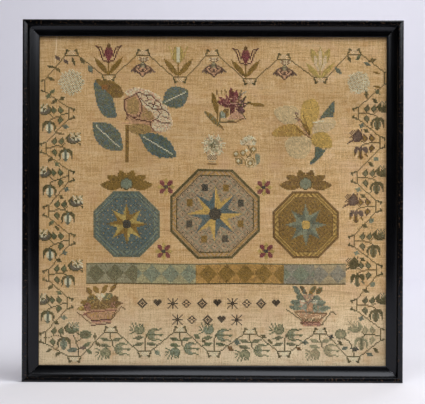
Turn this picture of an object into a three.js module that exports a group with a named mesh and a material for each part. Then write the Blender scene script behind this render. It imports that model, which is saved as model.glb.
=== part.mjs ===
// A framed cross stitch sampler: a stretched linen cloth in a narrow black scoop frame, standing on its bottom rail.
// Millimetres, +Z up, the front faces -Y. The origin is at the middle of the foot: centre of width and depth, z = 0.
import * as THREE from "three";

// Outer size of the frame.
const frameWidth = 457;
const frameHeight = 435;
const frameDepth = 24;

// Section of a rail, measured inwards from its outer edge and backwards from its front.
const railWidth = 20;
const beadWidth = 6.2;
const beadCornerRadius = 2.4;
const beadInnerRadius = 0.8;
const quirkDepth = 0.5;
const coveWidth = 10.2;
const coveDepth = 5.2;
const lipRadius = 1;
const lipThickness = 3.2;
const rebateWidth = 6;

// Clearances between the pieces.
const fitGap = 0.3;
const rebateClearance = 0.7;

// The contents of the rebate.
const clothThickness = 1.2;
const boardThickness = 4;
const clothColumns = 30;
const clothRows = 28;

// Curves of the rail section.
const curveSteps = 7;

// Depths of the section's faces, from front to back.
const frontFace = -frameDepth / 2;
const backFace = frameDepth / 2;
const coveTop = frontFace + beadInnerRadius + quirkDepth;
const lipFace = coveTop + coveDepth;
const ledge = lipFace + lipThickness;
const clothFront = ledge + fitGap;
const boardFront = clothFront + clothThickness + fitGap;

// The cloth and the board reach into the rebate on all sides.
const contentWidth = frameWidth - 2 * (railWidth - rebateWidth + rebateClearance);
const contentHeight = frameHeight - 2 * (railWidth - rebateWidth + rebateClearance);
const rimWidth = railWidth - (frameWidth - contentWidth) / 2;

// Soft ridges of the stretched cloth: the middle, the length and half width, the height towards the
// viewer, and the turn in degrees of the length from level. x and z are from the middle of the cloth.
const ridges = [
  { x: 118, z: -88, length: 190, halfWidth: 13, height: 0.55, turn: 3 },
  { x: 60, z: -152, length: 250, halfWidth: 15, height: 0.5, turn: -2 },
  { x: 158, z: -20, length: 110, halfWidth: 14, height: 0.6, turn: -4 },
  { x: 150, z: 52, length: 120, halfWidth: 12, height: 0.5, turn: 5 },
  { x: 60, z: 88, length: 200, halfWidth: 16, height: 0.45, turn: 2 },
  { x: -70, z: 172, length: 230, halfWidth: 13, height: 0.5, turn: -1 },
  { x: -165, z: 40, length: 210, halfWidth: 16, height: 0.45, turn: 86 },
  { x: -120, z: -120, length: 130, halfWidth: 14, height: 0.5, turn: -5 },
  { x: 176, z: 130, length: 120, halfWidth: 13, height: 0.45, turn: 84 },
];

// Height of the cloth over its flat plane at a point, zero at the rim that the frame covers.
function clothRise(x, z) {
  let rise = 0;
  for (const ridge of ridges) {
    const turn = THREE.MathUtils.degToRad(ridge.turn);
    const dx = x - ridge.x;
    const dz = z - ridge.z;
    const along = dx * Math.cos(turn) + dz * Math.sin(turn);
    const across = dz * Math.cos(turn) - dx * Math.sin(turn);
    const reach = (2 * along) / ridge.length;
    rise += ridge.height * Math.exp(-(reach ** 4) - (across / ridge.halfWidth) ** 2);
  }
  const fromRimX = contentWidth / 2 - rimWidth - Math.abs(x);
  const fromRimZ = contentHeight / 2 - rimWidth - Math.abs(z);
  return rise * THREE.MathUtils.smoothstep(Math.min(fromRimX, fromRimZ), 0, 2 * rimWidth);
}

// Section of a rail: x runs inwards from the outer edge, y runs backwards.
function railSection() {
  const coveEnd = beadWidth + coveWidth;
  const section = new THREE.Shape();
  section.moveTo(0, backFace);
  section.lineTo(0, frontFace + beadCornerRadius);
  section.absarc(
    beadCornerRadius,
    frontFace + beadCornerRadius,
    beadCornerRadius,
    Math.PI,
    1.5 * Math.PI,
    false,
  );
  section.lineTo(beadWidth - beadInnerRadius, frontFace);
  section.absarc(
    beadWidth - beadInnerRadius,
    frontFace + beadInnerRadius,
    beadInnerRadius,
    1.5 * Math.PI,
    2 * Math.PI,
    false,
  );
  section.lineTo(beadWidth, coveTop);
  section.absellipse(coveEnd, coveTop, coveWidth, coveDepth, Math.PI, 0.5 * Math.PI, true);
  section.lineTo(railWidth - lipRadius, lipFace);
  section.absarc(railWidth - lipRadius, lipFace + lipRadius, lipRadius, 1.5 * Math.PI, 2 * Math.PI, false);
  section.lineTo(railWidth, ledge);
  section.lineTo(railWidth - rebateWidth, ledge);
  section.lineTo(railWidth - rebateWidth, backFace);
  section.closePath();
  return section;
}

// A rail along X, its outer edge at z = 0 and its sight edge above. Both ends are mitred: each
// point of an end lies as far back from the corner as it lies inwards, less half of the joint's gap.
function railGeometry(outerLength) {
  const geometry = new THREE.ExtrudeGeometry(railSection(), {
    depth: 1,
    bevelEnabled: false,
    curveSegments: curveSteps,
  });
  const points = geometry.getAttribute("position");
  for (let i = 0; i < points.count; i++) {
    const inwards = points.getX(i);
    const end = points.getZ(i) > 0.5 ? -1 : 1;
    points.setXYZ(i, end * (outerLength / 2 - inwards - fitGap / Math.SQRT2), points.getY(i), inwards);
  }
  geometry.computeVertexNormals();
  return geometry;
}

// A rail hung from the middle of the frame, which turns it to its side.
function rail(name, outerLength, fromMiddle, turn) {
  const mesh = new THREE.Mesh(railGeometry(outerLength), paintedWood.clone());
  mesh.name = name;
  mesh.position.z = -fromMiddle;
  const side = new THREE.Group();
  side.rotation.y = turn;
  side.add(mesh);
  return side;
}

// The cloth: a sheet of one thickness that follows its ridges.
function cloth() {
  const geometry = new THREE.BoxGeometry(
    contentWidth,
    clothThickness,
    contentHeight,
    clothColumns,
    1,
    clothRows,
  );
  const points = geometry.getAttribute("position");
  for (let i = 0; i < points.count; i++)
    points.setY(i, points.getY(i) - clothRise(points.getX(i), points.getZ(i)));
  geometry.computeVertexNormals();
  const mesh = new THREE.Mesh(geometry, linen);
  mesh.name = "sampler_cloth";
  mesh.position.y = clothFront + clothThickness / 2;
  return mesh;
}

// The board that the cloth is stretched over, level with it at the edges.
function board() {
  const geometry = new THREE.BoxGeometry(contentWidth, boardThickness, contentHeight);
  const mesh = new THREE.Mesh(geometry, hardboard);
  mesh.name = "backing_board";
  mesh.position.y = boardFront + boardThickness / 2;
  return mesh;
}

const paintedWood = new THREE.MeshStandardMaterial({ color: 0x141416, roughness: 0.38, metalness: 0 });
const linen = new THREE.MeshStandardMaterial({ color: 0xc3a477, roughness: 0.92, metalness: 0 });
const hardboard = new THREE.MeshStandardMaterial({ color: 0x8a6a48, roughness: 0.85, metalness: 0 });

const frame = new THREE.Group();
frame.add(
  rail("rail_bottom", frameWidth, frameHeight / 2, 0),
  rail("rail_top", frameWidth, frameHeight / 2, Math.PI),
  rail("rail_left", frameHeight, frameWidth / 2, Math.PI / 2),
  rail("rail_right", frameHeight, frameWidth / 2, -Math.PI / 2),
  cloth(),
  board(),
);
frame.position.z = frameHeight / 2;

const sampler = new THREE.Group();
sampler.add(frame);

export default sampler;
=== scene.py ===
import math
import random

import bmesh
import bpy
import numpy as np
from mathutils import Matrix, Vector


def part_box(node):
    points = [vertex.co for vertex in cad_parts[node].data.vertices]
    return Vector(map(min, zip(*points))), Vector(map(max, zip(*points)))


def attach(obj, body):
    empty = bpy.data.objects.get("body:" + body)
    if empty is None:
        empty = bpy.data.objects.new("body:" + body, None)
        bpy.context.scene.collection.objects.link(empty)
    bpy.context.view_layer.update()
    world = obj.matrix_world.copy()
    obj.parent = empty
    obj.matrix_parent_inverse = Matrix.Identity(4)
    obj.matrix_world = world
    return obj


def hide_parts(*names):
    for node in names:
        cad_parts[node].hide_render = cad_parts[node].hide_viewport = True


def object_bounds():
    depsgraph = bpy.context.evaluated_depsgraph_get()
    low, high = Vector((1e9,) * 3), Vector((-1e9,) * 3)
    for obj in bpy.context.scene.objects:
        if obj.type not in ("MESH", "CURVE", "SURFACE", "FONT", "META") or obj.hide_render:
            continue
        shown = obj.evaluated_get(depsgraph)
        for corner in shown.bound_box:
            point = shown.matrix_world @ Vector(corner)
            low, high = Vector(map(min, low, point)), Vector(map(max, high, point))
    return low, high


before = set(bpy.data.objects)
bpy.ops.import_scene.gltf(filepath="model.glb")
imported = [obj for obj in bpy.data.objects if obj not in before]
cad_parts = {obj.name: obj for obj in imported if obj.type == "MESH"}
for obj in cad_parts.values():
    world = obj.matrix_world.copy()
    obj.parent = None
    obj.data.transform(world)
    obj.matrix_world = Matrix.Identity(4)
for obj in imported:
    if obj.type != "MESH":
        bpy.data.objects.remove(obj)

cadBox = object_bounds()
bpy.context.scene.view_settings.view_transform = "Standard"
boxLow, boxHigh = cadBox
outerWidth = boxHigh[0] - boxLow[0]
outerHeight = boxHigh[2] - boxLow[2]
middle = (0.0, 0.0, outerHeight / 2)
mm = 0.001
print("frame loaded")


# sRGB hex to the linear colour that Blender's sockets take
def linearColour(hexValue):
    values = [int(hexValue[i:i + 2], 16) / 255 for i in (1, 3, 5)]
    return tuple(v / 12.92 if v <= 0.04045 else ((v + 0.055) / 1.055) ** 2.4 for v in values) + (1.0,)


# Sets a node's inputs. Each takes a number, a vector, a colour as hex, or what feeds it: a socket, or a node
# for its first output
def setInputs(tree, node, inputs):
    for key, value in inputs.items():
        if isinstance(value, bpy.types.Node):
            value = value.outputs[0]
        if isinstance(value, bpy.types.NodeSocket):
            tree.links.new(value, node.inputs[key])
        else:
            node.inputs[key].default_value = linearColour(value) if isinstance(value, str) else value


# Adds a shader node: its own settings first, then its inputs
def addNode(tree, kind, inputs=None, **settings):
    node = tree.nodes.new("ShaderNode" + kind)
    for name, value in settings.items():
        setattr(node, name, value)
    setInputs(tree, node, inputs or {})
    return node


# A new material, its nodes, its shader, and the place on the object that its patterns go by
def newMaterial(name):
    material = bpy.data.materials.new(name)
    material.use_nodes = True
    tree = material.node_tree
    return material, tree, tree.nodes["Principled BSDF"], addNode(tree, "TexCoord").outputs["Object"]


# A new object in the scene, of a mesh, a lamp or a camera
def addObject(name, data):
    piece = bpy.data.objects.new(name, data)
    bpy.context.collection.objects.link(piece)
    return piece


# A new object of a smooth mesh with one material
def addSmooth(name, mesh, finish):
    mesh.materials.append(finish)
    mesh.polygons.foreach_set("use_smooth", np.ones(len(mesh.polygons), dtype=bool))
    return addObject(name, mesh)


# Lays one colour over another: none of it at the low value, and the most of it at the high value
def overlay(tree, under, over, value, low, high, most=1.0):
    share = addNode(tree, "MapRange", {"Value": value, "From Min": low, "From Max": high, "To Max": most})
    return addNode(tree, "Mix", {0: share, 6: under, 7: over}, data_type="RGBA").outputs[2]


# Noise drawn out to another length along each axis
def stretchedNoise(tree, place, lengths, inputs):
    stretched = addNode(tree, "Mapping", {"Vector": place, "Scale": [1 / length for length in lengths]})
    return addNode(tree, "TexNoise", {"Vector": stretched, "Scale": 1.0, **inputs})


# Even waves, from -1 to 1, one in each pitch of the way along an axis
def waves(tree, axis, pitch):
    turns = addNode(tree, "Math", {0: axis, 1: 2 * math.pi / pitch}, operation="MULTIPLY")
    return addNode(tree, "Math", {0: turns}, operation="SINE")


# Satin black lacquer brushed on a wooden moulding: deep black with a soft sheen in long faint brush lines,
# and brown wood showing in specks where the edges are rubbed
lacquer = {
    "black": "#030304", "dusty": "#0c0c0e", "rubbed": "#3a2c20", "mostDust": 0.7,
    # the reflections get a faint blue tint: painted light, for the bluish light around the frame
    "roughness": 0.24, "roughnessSpread": 0.07, "ior": 1.4, "blueReflectionTint": "#f1f5ff",
    "brushLineWidth": 0.5 * mm, "brushLineLength": 45 * mm, "blotchSize": 30 * mm, "rubbedSize": 2.5 * mm,
    "bumpHeight": 0.02 * mm,
}


def satinLacquer(name, along):
    material, tree, shader, place = newMaterial(name)
    line = [lacquer["brushLineWidth"]] * 3
    line[along] = lacquer["brushLineLength"]
    brush = stretchedNoise(tree, place, line, {"Detail": 2.0})
    blotch = addNode(tree, "TexNoise", {"Vector": place, "Scale": 1 / lacquer["blotchSize"], "Detail": 3.0})
    coat = overlay(tree, lacquer["black"], lacquer["dusty"], blotch, 0.45, 0.75, lacquer["mostDust"])
    speck = addNode(tree, "TexNoise", {"Vector": place, "Scale": 1 / lacquer["rubbedSize"], "Detail": 4.0})
    edge = addNode(tree, "Attribute", attribute_name="edgeWear").outputs["Fac"]
    worn = addNode(tree, "Math", {0: speck, 1: edge}, operation="MULTIPLY")
    half = lacquer["roughnessSpread"] / 2
    roughness = addNode(tree, "MapRange", {"Value": brush, "From Min": 0.3, "From Max": 0.7,
                                           "To Min": lacquer["roughness"] - half,
                                           "To Max": lacquer["roughness"] + half})
    setInputs(tree, shader, {
        "Base Color": overlay(tree, coat, lacquer["rubbed"], worn, 0.58, 0.66), "Roughness": roughness,
        "Normal": addNode(tree, "Bump", {"Height": brush, "Distance": lacquer["bumpHeight"]}),
        "IOR": lacquer["ior"], "Specular Tint": lacquer["blueReflectionTint"]})
    return material


# Sawn softwood, left bare on the backs and in the rebates: pale, dull, with long darker grain lines
softwood = {
    "pale": "#b08d5f", "dark": "#8a6640", "roughness": 0.8,
    "grainWidth": 1.2 * mm, "grainLength": 60 * mm, "bumpHeight": 0.08 * mm,
}


def sawnSoftwood(name, along):
    material, tree, shader, place = newMaterial(name)
    line = [softwood["grainWidth"]] * 3
    line[along] = softwood["grainLength"]
    grain = stretchedNoise(tree, place, line, {"Detail": 4.0, "Distortion": 0.6})
    setInputs(tree, shader, {
        "Base Color": overlay(tree, softwood["pale"], softwood["dark"], grain, 0.35, 0.65),
        "Roughness": softwood["roughness"],
        "Normal": addNode(tree, "Bump", {"Height": grain, "Distance": softwood["bumpHeight"]})})
    return material


# Pressed hardboard: brown, mottled with fibres, its back printed by the wire screen of the press
hardboard = {
    "pale": "#8f6a45", "dark": "#6b4a2c", "roughness": 0.75,
    "fibreSize": 1.8 * mm, "screenPitch": 1.6 * mm, "bumpHeight": 0.15 * mm, "bumpStrength": 0.6,
}


def pressedHardboard():
    material, tree, shader, place = newMaterial("pressedHardboard")
    axes = addNode(tree, "SeparateXYZ", {0: place}).outputs
    upright, level = [waves(tree, axes[axis], hardboard["screenPitch"]) for axis in ("X", "Z")]
    screen = addNode(tree, "Math", {0: upright, 1: level}, operation="MAXIMUM")
    fibre = addNode(tree, "TexNoise", {"Vector": place, "Scale": 1 / hardboard["fibreSize"], "Detail": 5.0,
                                       "Roughness": 0.7})
    setInputs(tree, shader, {
        "Base Color": overlay(tree, hardboard["pale"], hardboard["dark"], fibre, 0.3, 0.7),
        "Roughness": hardboard["roughness"],
        "Normal": addNode(tree, "Bump", {"Height": screen, "Distance": hardboard["bumpHeight"],
                                         "Strength": hardboard["bumpStrength"]})})
    return material


# Aged handwoven linen: tan, dull, browner towards the top and paler towards the foot: partly fading, and
# partly painted light from the white floor in front that lights the foot. Its uneven yarns make fine lines
# both ways, paler where a yarn is thick, and the cloth has brownish and pinkish age marks. Painted shade
# darkens its left half, and its faint folds have painted shade on one side and a painted highlight on the
# other
linen = {
    # top and foot: the paler foot is partly fading and partly painted light from the floor in front
    "top": "#dab075", "foot": "#efddb9", "topHeight": 0.15, "footHeight": 0.015,
    "left": -0.02, "right": 0.16, "leftPaintedShade": 0.22,  # browner on the left half: painted shade, for the light that falls from the right
    "thick": "#f6dfb8", "thin": "#876a45", "brown": "#94703c", "pink": "#d4a98b", "orange": "#c08a4e",
    "lineContrast": 0.85, "grainContrast": 0.75, "markShare": 0.35, "stainShare": 0.45, "orangeShare": 0.5,
    "paintedFoldShare": 0.32,
    # two thin pale streaks down the cloth: place at the top, its lean, lower end, half width, share
    "paleStreaks": ((-188 * mm, 0.07, 0.383, 1.1 * mm, 0.6), (-56 * mm, 0.0, 0.411, 0.6 * mm, 0.6)),
    "paleStreakTop": 0.415,
    "roughness": 0.92, "sheen": 0.05, "sheenRoughness": 0.5, "gloss": 0.2,
    "yarnPitch": 1.4 * mm,  # the real yarns lie 0.7 mm apart: twice that shows from where the camera stands
    "slubLength": 22 * mm, "slubWidth": 1.5 * mm, "grainSize": 1.5 * mm, "markSize": 30 * mm,
    "stainSize": 130 * mm, "orangeSize": 22 * mm, "foldLength": 60 * mm, "foldWidth": 5 * mm,
    "bumpHeight": 0.22 * mm,
}


def agedLinen():
    material, tree, shader, place = newMaterial("agedLinen")
    axes = addNode(tree, "SeparateXYZ", {0: place}).outputs
    warp, weft = [waves(tree, axes[axis], linen["yarnPitch"]) for axis in ("X", "Z")]
    weave = addNode(tree, "Math", {0: warp, 1: weft}, operation="MULTIPLY")
    # thick and thin stretches of yarn, upright and level. They don't change through the depth of the cloth
    width, length, deep = linen["slubWidth"], linen["slubLength"], 1.0
    upright, level = [stretchedNoise(tree, place, lengths, {"Detail": 4.0, "Roughness": 0.7})
                      for lengths in ((width, deep, length), (length, deep, width))]
    slub = addNode(tree, "Math", {0: upright, 1: level}, operation="ADD")
    grain = addNode(tree, "TexNoise", {"Vector": place, "Scale": 1 / linen["grainSize"], "Detail": 3.0,
                                       "Roughness": 0.8})
    mark, stain, orange = [addNode(tree, "TexNoise", {"Vector": place, "Scale": 1 / linen[size], "Detail": 4.0,
                                                      "Roughness": 0.6})
                           for size in ("markSize", "stainSize", "orangeSize")]
    # faint folds that run across the cloth, with painted shade on one side and a painted highlight on the
    # other
    paintedFoldLight = stretchedNoise(tree, place, (linen["foldLength"], deep, linen["foldWidth"]),
                          {"Detail": 3.0, "Distortion": 0.8})
    # each layer: its colour, what makes it, the lowest and highest value of that, its largest share
    layers = [
        ("thick", slub, 1.0, 1.35, linen["lineContrast"]), ("thin", slub, 1.0, 0.65, linen["lineContrast"]),
        ("thick", grain, 0.5, 0.75, linen["grainContrast"]),
        ("thin", grain, 0.5, 0.25, linen["grainContrast"]),
        ("pink", mark, 0.5, 0.72, linen["markShare"]), ("brown", stain, 0.5, 0.75, linen["stainShare"]),
        # the folds: painted shade on one side, painted highlight on the other
        ("orange", orange, 0.56, 0.75, linen["orangeShare"]), ("brown", paintedFoldLight, 0.52, 0.8, linen["paintedFoldShare"]),
        ("thick", paintedFoldLight, 0.48, 0.2, linen["paintedFoldShare"]),
        # painted shade over the left half, for the light that falls from the right
        ("brown", axes["X"], linen["right"], linen["left"], linen["leftPaintedShade"]),
    ]
    for atTop, lean, lowerEnd, half, most in linen["paleStreaks"]:
        drop = addNode(tree, "Math", {0: axes["Z"], 1: linen["paleStreakTop"]}, operation="SUBTRACT")
        line = addNode(tree, "Math", {0: drop, 1: lean, 2: atTop}, operation="MULTIPLY_ADD")
        aside = addNode(tree, "Math", {0: axes["X"], 1: line}, operation="SUBTRACT")
        away = addNode(tree, "Math", {0: aside}, operation="ABSOLUTE")
        below = addNode(tree, "Math", {0: axes["Z"], 1: lowerEnd}, operation="LESS_THAN")
        off = addNode(tree, "Math", {0: below, 1: away}, operation="ADD")
        layers.append(("thick", off, half, 0.0, most))
    # paler towards the foot: partly fading, partly painted light from the floor in front
    height = addNode(tree, "MapRange", {"Value": axes["Z"], "From Min": linen["topHeight"],
                                        "From Max": linen["footHeight"]}, interpolation_type="SMOOTHSTEP")
    colour = addNode(tree, "Mix", {0: height, 6: linen["top"], 7: linen["foot"]}, data_type="RGBA").outputs[2]
    for name, value, low, high, most in layers:
        colour = overlay(tree, colour, linen[name], value, low, high, most)
    relief = addNode(tree, "Math", {0: weave, 1: slub}, operation="ADD")
    setInputs(tree, shader, {
        "Base Color": colour, "Roughness": linen["roughness"],
        "Normal": addNode(tree, "Bump", {"Height": relief, "Distance": linen["bumpHeight"]}),
        "Specular IOR Level": linen["gloss"], "Sheen Weight": linen["sheen"],
        "Sheen Roughness": linen["sheenRoughness"]})
    return material


# Faded silk and wool embroidery thread: every stitch its own shade, a soft sheen, and the twist of the ply
thread = {
    "roughness": 0.8, "sheen": 0.05, "sheenRoughness": 0.5, "gloss": 0.15, "twistPitch": 0.5 * mm,
    "twistContrast": 0.25, "bumpHeight": 0.06 * mm,
}


def twistedThread():
    material, tree, shader, place = newMaterial("twistedThread")
    dyed = addNode(tree, "Attribute", attribute_name="threadColour").outputs["Color"]
    fibre = addNode(tree, "TexNoise", {"Vector": place, "Scale": 1 / thread["twistPitch"], "Detail": 2.0})
    fade = addNode(tree, "MapRange", {"Value": fibre, "From Min": 0.3, "From Max": 0.7,
                                      "To Min": 1 - thread["twistContrast"],
                                      "To Max": 1 + thread["twistContrast"]})
    setInputs(tree, shader, {
        "Base Color": addNode(tree, "VectorMath", {0: dyed, "Scale": fade}, operation="SCALE"),
        "Roughness": thread["roughness"],
        "Normal": addNode(tree, "Bump", {"Height": fibre, "Distance": thread["bumpHeight"]}),
        "Specular IOR Level": thread["gloss"], "Sheen Weight": thread["sheen"],
        "Sheen Roughness": thread["sheenRoughness"]})
    return material


# The rails: section sizes inwards from the outer edge and backwards from the front, and angles in degrees
rails = {
    "width": 20 * mm, "depth": 24 * mm, "rebate": 6 * mm,
    "beadWidth": 6.2 * mm, "beadHeight": 1.3 * mm, "beadRadius": 2.4 * mm, "beadInnerRadius": 0.4 * mm,
    "coveWidth": 10.2 * mm, "coveDepth": 5.2 * mm, "coveSteps": 12,
    "lipRadius": 1.0 * mm, "lipThickness": 3.2 * mm,
    "jointGap": 0.06 * mm, "arris": 0.12 * mm, "arrisAngle": 40, "smoothAngle": 35,
    "beadWear": 1.0, "lipWear": 0.8, "crestShare": 0.3, "bareMargin": 0.05 * mm, "tolerance": 0.005 * mm,
}


# Selects what a test holds for, in the mesh that is being edited
def selectWhere(kind, test):
    bm = bmesh.from_edit_mesh(bpy.context.edit_object.data)
    bpy.ops.mesh.select_all(action="DESELECT")
    bpy.context.tool_settings.mesh_select_mode = (kind == "verts", kind == "edges", kind == "faces")
    for part in getattr(bm, kind):
        if test(part):
            part.select_set(True)
    bm.select_flush_mode()
    bmesh.update_edit_mesh(bpy.context.edit_object.data)


def near(a, b):
    return abs(a - b) < rails["tolerance"]


# A rail along X, worked as by hand from a bar: bead extruded, lip extruded, cove cut and pushed back, ends
# mitred. Its outer edge lies fromMiddle away from the middle of the frame, and turn brings it to its side
def makeRail(name, length, fromMiddle, turn, along):
    front = -rails["depth"] / 2
    flatTop = front + rails["beadHeight"]
    lipFront = flatTop + rails["coveDepth"]
    ledge = lipFront + rails["lipThickness"]
    back = rails["depth"] / 2
    barWidth = rails["width"] - rails["rebate"]
    bpy.ops.object.select_all(action="DESELECT")
    bpy.ops.mesh.primitive_cube_add(size=1, location=(0, (flatTop + back) / 2, barWidth / 2))
    rail = bpy.context.object
    rail.name = name
    rail.scale = (length, back - flatTop, barWidth)
    bpy.ops.object.transform_apply(location=True, scale=True)
    bpy.ops.object.mode_set(mode="EDIT")
    # the lip over the rebate
    bpy.ops.mesh.select_all(action="SELECT")
    bpy.ops.mesh.bisect(plane_co=(0, ledge, 0), plane_no=(0, 1, 0))
    selectWhere("faces", lambda f: near(f.calc_center_median().z, barWidth)
                and f.calc_center_median().y < ledge)
    bpy.ops.mesh.extrude_region_move(TRANSFORM_OT_translate={"value": (0, 0, rails["rebate"])})
    bpy.ops.mesh.select_all(action="SELECT")
    bpy.ops.mesh.dissolve_limited(angle_limit=math.radians(1))
    # the bead
    selectWhere("faces", lambda f: near(f.calc_center_median().y, flatTop) and f.normal.y < -0.9)
    bpy.ops.mesh.bisect(plane_co=(0, 0, rails["beadWidth"]), plane_no=(0, 0, 1))
    selectWhere("faces", lambda f: near(f.calc_center_median().y, flatTop)
                and f.calc_center_median().z < rails["beadWidth"])
    bpy.ops.mesh.extrude_region_move(TRANSFORM_OT_translate={"value": (0, front - flatTop, 0)})
    bpy.ops.mesh.select_all(action="SELECT")
    bpy.ops.mesh.dissolve_limited(angle_limit=math.radians(1))
    # the cove: a quarter of an ellipse, cut in strips and pushed back
    angles = [math.pi / 2 * (step + 1) / rails["coveSteps"] for step in range(rails["coveSteps"])]
    cuts = [rails["beadWidth"] + rails["coveWidth"] * (1 - math.cos(a)) for a in angles]
    for inwards in cuts:
        selectWhere("faces", lambda f: near(f.calc_center_median().y, flatTop) and f.normal.y < -0.9
                    and f.calc_center_median().z > rails["beadWidth"])
        bpy.ops.mesh.bisect(plane_co=(0, 0, inwards), plane_no=(0, 0, 1))
    for a, inwards in zip(angles, cuts):
        last = inwards == cuts[-1]
        selectWhere("verts", lambda v: near(v.co.y, flatTop)
                    and (near(v.co.z, inwards) or (last and v.co.z > inwards)))
        bpy.ops.transform.translate(value=(0, rails["coveDepth"] * math.sin(a), 0))
    # rounded edges
    for height, depth, radius, segments in ((0, front, rails["beadRadius"], 6),
                                            (rails["beadWidth"], front, rails["beadInnerRadius"], 3),
                                            (rails["width"], lipFront, rails["lipRadius"], 4)):
        selectWhere("edges", lambda e: all(near(v.co.y, depth) and near(v.co.z, height) for v in e.verts))
        bpy.ops.mesh.bevel(offset=radius, segments=segments, profile=0.5)
    # mitred ends
    for side in (1, -1):
        bpy.ops.mesh.select_all(action="SELECT")
        bpy.ops.mesh.bisect(plane_co=(side * (length / 2 - rails["jointGap"]), 0, 0), plane_no=(side, 0, 1),
                            use_fill=True, clear_outer=True)
    bpy.ops.object.mode_set(mode="OBJECT")
    arris = rail.modifiers.new("arris", "BEVEL")
    arris.width = rails["arris"]
    arris.segments = 2
    arris.limit_method = "ANGLE"
    arris.angle_limit = math.radians(rails["arrisAngle"])
    bpy.ops.object.modifier_apply(modifier="arris")
    # rubbed edges: the crest of the bead and the lip, as an attribute that the lacquer reads
    wear = rail.data.attributes.new("edgeWear", "FLOAT", "POINT")
    for vertex, value in zip(rail.data.vertices, wear.data):
        onBead = vertex.co.y < front + rails["crestShare"] * rails["beadRadius"]
        onLip = vertex.co.z > rails["width"] - rails["lipRadius"] and vertex.co.y < ledge - rails["lipRadius"]
        value.value = rails["beadWear"] if onBead else rails["lipWear"] if onLip else 0.0
    # the lacquer stops at the back and in the rebate
    rail.data.materials.append(satinLacquer(name + "Lacquer", along))
    rail.data.materials.append(sawnSoftwood(name + "Wood", along))
    for face in rail.data.polygons:
        pastBar = face.center.z > barWidth - rails["bareMargin"]
        if face.normal.y > 0.9 or (pastBar and face.center.y > ledge - rails["bareMargin"]):
            face.material_index = 1
    bpy.ops.object.shade_smooth_by_angle(angle=math.radians(rails["smoothAngle"]))
    rail.location = (0, 0, -fromMiddle)
    bpy.ops.object.transform_apply(location=True)
    rail.rotation_euler = (0, turn, 0)
    bpy.ops.object.transform_apply(rotation=True)
    rail.location = middle
    bpy.ops.object.transform_apply(location=True)
    return rail


for railName, node, length, fromMiddle, turn, along in (
        ("bottomRail", "rail_bottom", outerWidth, outerHeight / 2, 0.0, 0),
        ("topRail", "rail_top", outerWidth, outerHeight / 2, math.pi, 0),
        ("leftRail", "rail_left", outerHeight, outerWidth / 2, math.pi / 2, 2),
        ("rightRail", "rail_right", outerHeight, outerWidth / 2, -math.pi / 2, 2)):
    rail = makeRail(railName, length, fromMiddle, turn, along)
    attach(rail, "root")
    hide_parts(node)
print("rails made")


# The cloth: linen stretched over the board, with soft ridges where the stitching has drawn it up. The places
# and sizes of ridges and creases are in millimetres from the middle of the cloth, and their turns in degrees
clothLow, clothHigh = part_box("sampler_cloth")
cloth = {
    "width": clothHigh[0] - clothLow[0], "height": clothHigh[2] - clothLow[2], "rim": 5.3 * mm,
    "front": -1.45 * mm, "thickness": 0.65 * mm, "cell": 2.5 * mm,
    "ridges": [
        {"x": 118, "z": -88, "length": 190, "halfWidth": 13, "height": 0.55, "turn": 3},
        {"x": 60, "z": -152, "length": 250, "halfWidth": 15, "height": 0.5, "turn": -2},
        {"x": 158, "z": -20, "length": 110, "halfWidth": 14, "height": 0.6, "turn": -4},
        {"x": 150, "z": 52, "length": 120, "halfWidth": 12, "height": 0.5, "turn": 5},
        {"x": 60, "z": 88, "length": 200, "halfWidth": 16, "height": 0.45, "turn": 2},
        {"x": -70, "z": 172, "length": 230, "halfWidth": 13, "height": 0.5, "turn": -1},
        {"x": -165, "z": 40, "length": 210, "halfWidth": 16, "height": 0.45, "turn": 86},
        {"x": -120, "z": -120, "length": 130, "halfWidth": 14, "height": 0.5, "turn": -5},
        {"x": 176, "z": 130, "length": 120, "halfWidth": 13, "height": 0.45, "turn": 84},
    ],
    # creases: how many, and the range of each size. More lie to the right, and one in five runs upright
    "creases": 75, "creaseX": (-195, 195, 120), "creaseZ": (-190, 190), "creaseLength": (40, 130),
    "creaseHalfWidth": (2.5, 4.5), "creaseHeight": (0.1, 0.38), "creaseTurns": (0, 0, 0, 0, 90),
    "creaseLean": (-7, 7),
}
creaseDraw = random.Random(7)
creases = [
    {"x": creaseDraw.triangular(*cloth["creaseX"]), "z": creaseDraw.uniform(*cloth["creaseZ"]),
     "length": creaseDraw.uniform(*cloth["creaseLength"]),
     "halfWidth": creaseDraw.uniform(*cloth["creaseHalfWidth"]),
     "height": creaseDraw.uniform(*cloth["creaseHeight"]),
     "turn": creaseDraw.choice(cloth["creaseTurns"]) + creaseDraw.uniform(*cloth["creaseLean"])}
    for _ in range(cloth["creases"])
]


# Height of the cloth over its flat plane, in metres, zero at the rim that the frame covers
def clothRise(x, z):
    rise = np.zeros_like(x)
    for ridge in cloth["ridges"] + creases:
        turn = math.radians(ridge["turn"])
        dx = x / mm - ridge["x"]
        dz = z / mm - ridge["z"]
        alongRidge = dx * math.cos(turn) + dz * math.sin(turn)
        acrossRidge = dz * math.cos(turn) - dx * math.sin(turn)
        reach = 2 * alongRidge / ridge["length"]
        rise += ridge["height"] * mm * np.exp(-reach**4 - (acrossRidge / ridge["halfWidth"])**2)
    inwards = np.minimum(cloth["width"] / 2 - cloth["rim"] - abs(x),
                         cloth["height"] / 2 - cloth["rim"] - abs(z))
    share = np.clip(inwards / (2 * cloth["rim"]), 0, 1)
    return rise * share * share * (3 - 2 * share)


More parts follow.
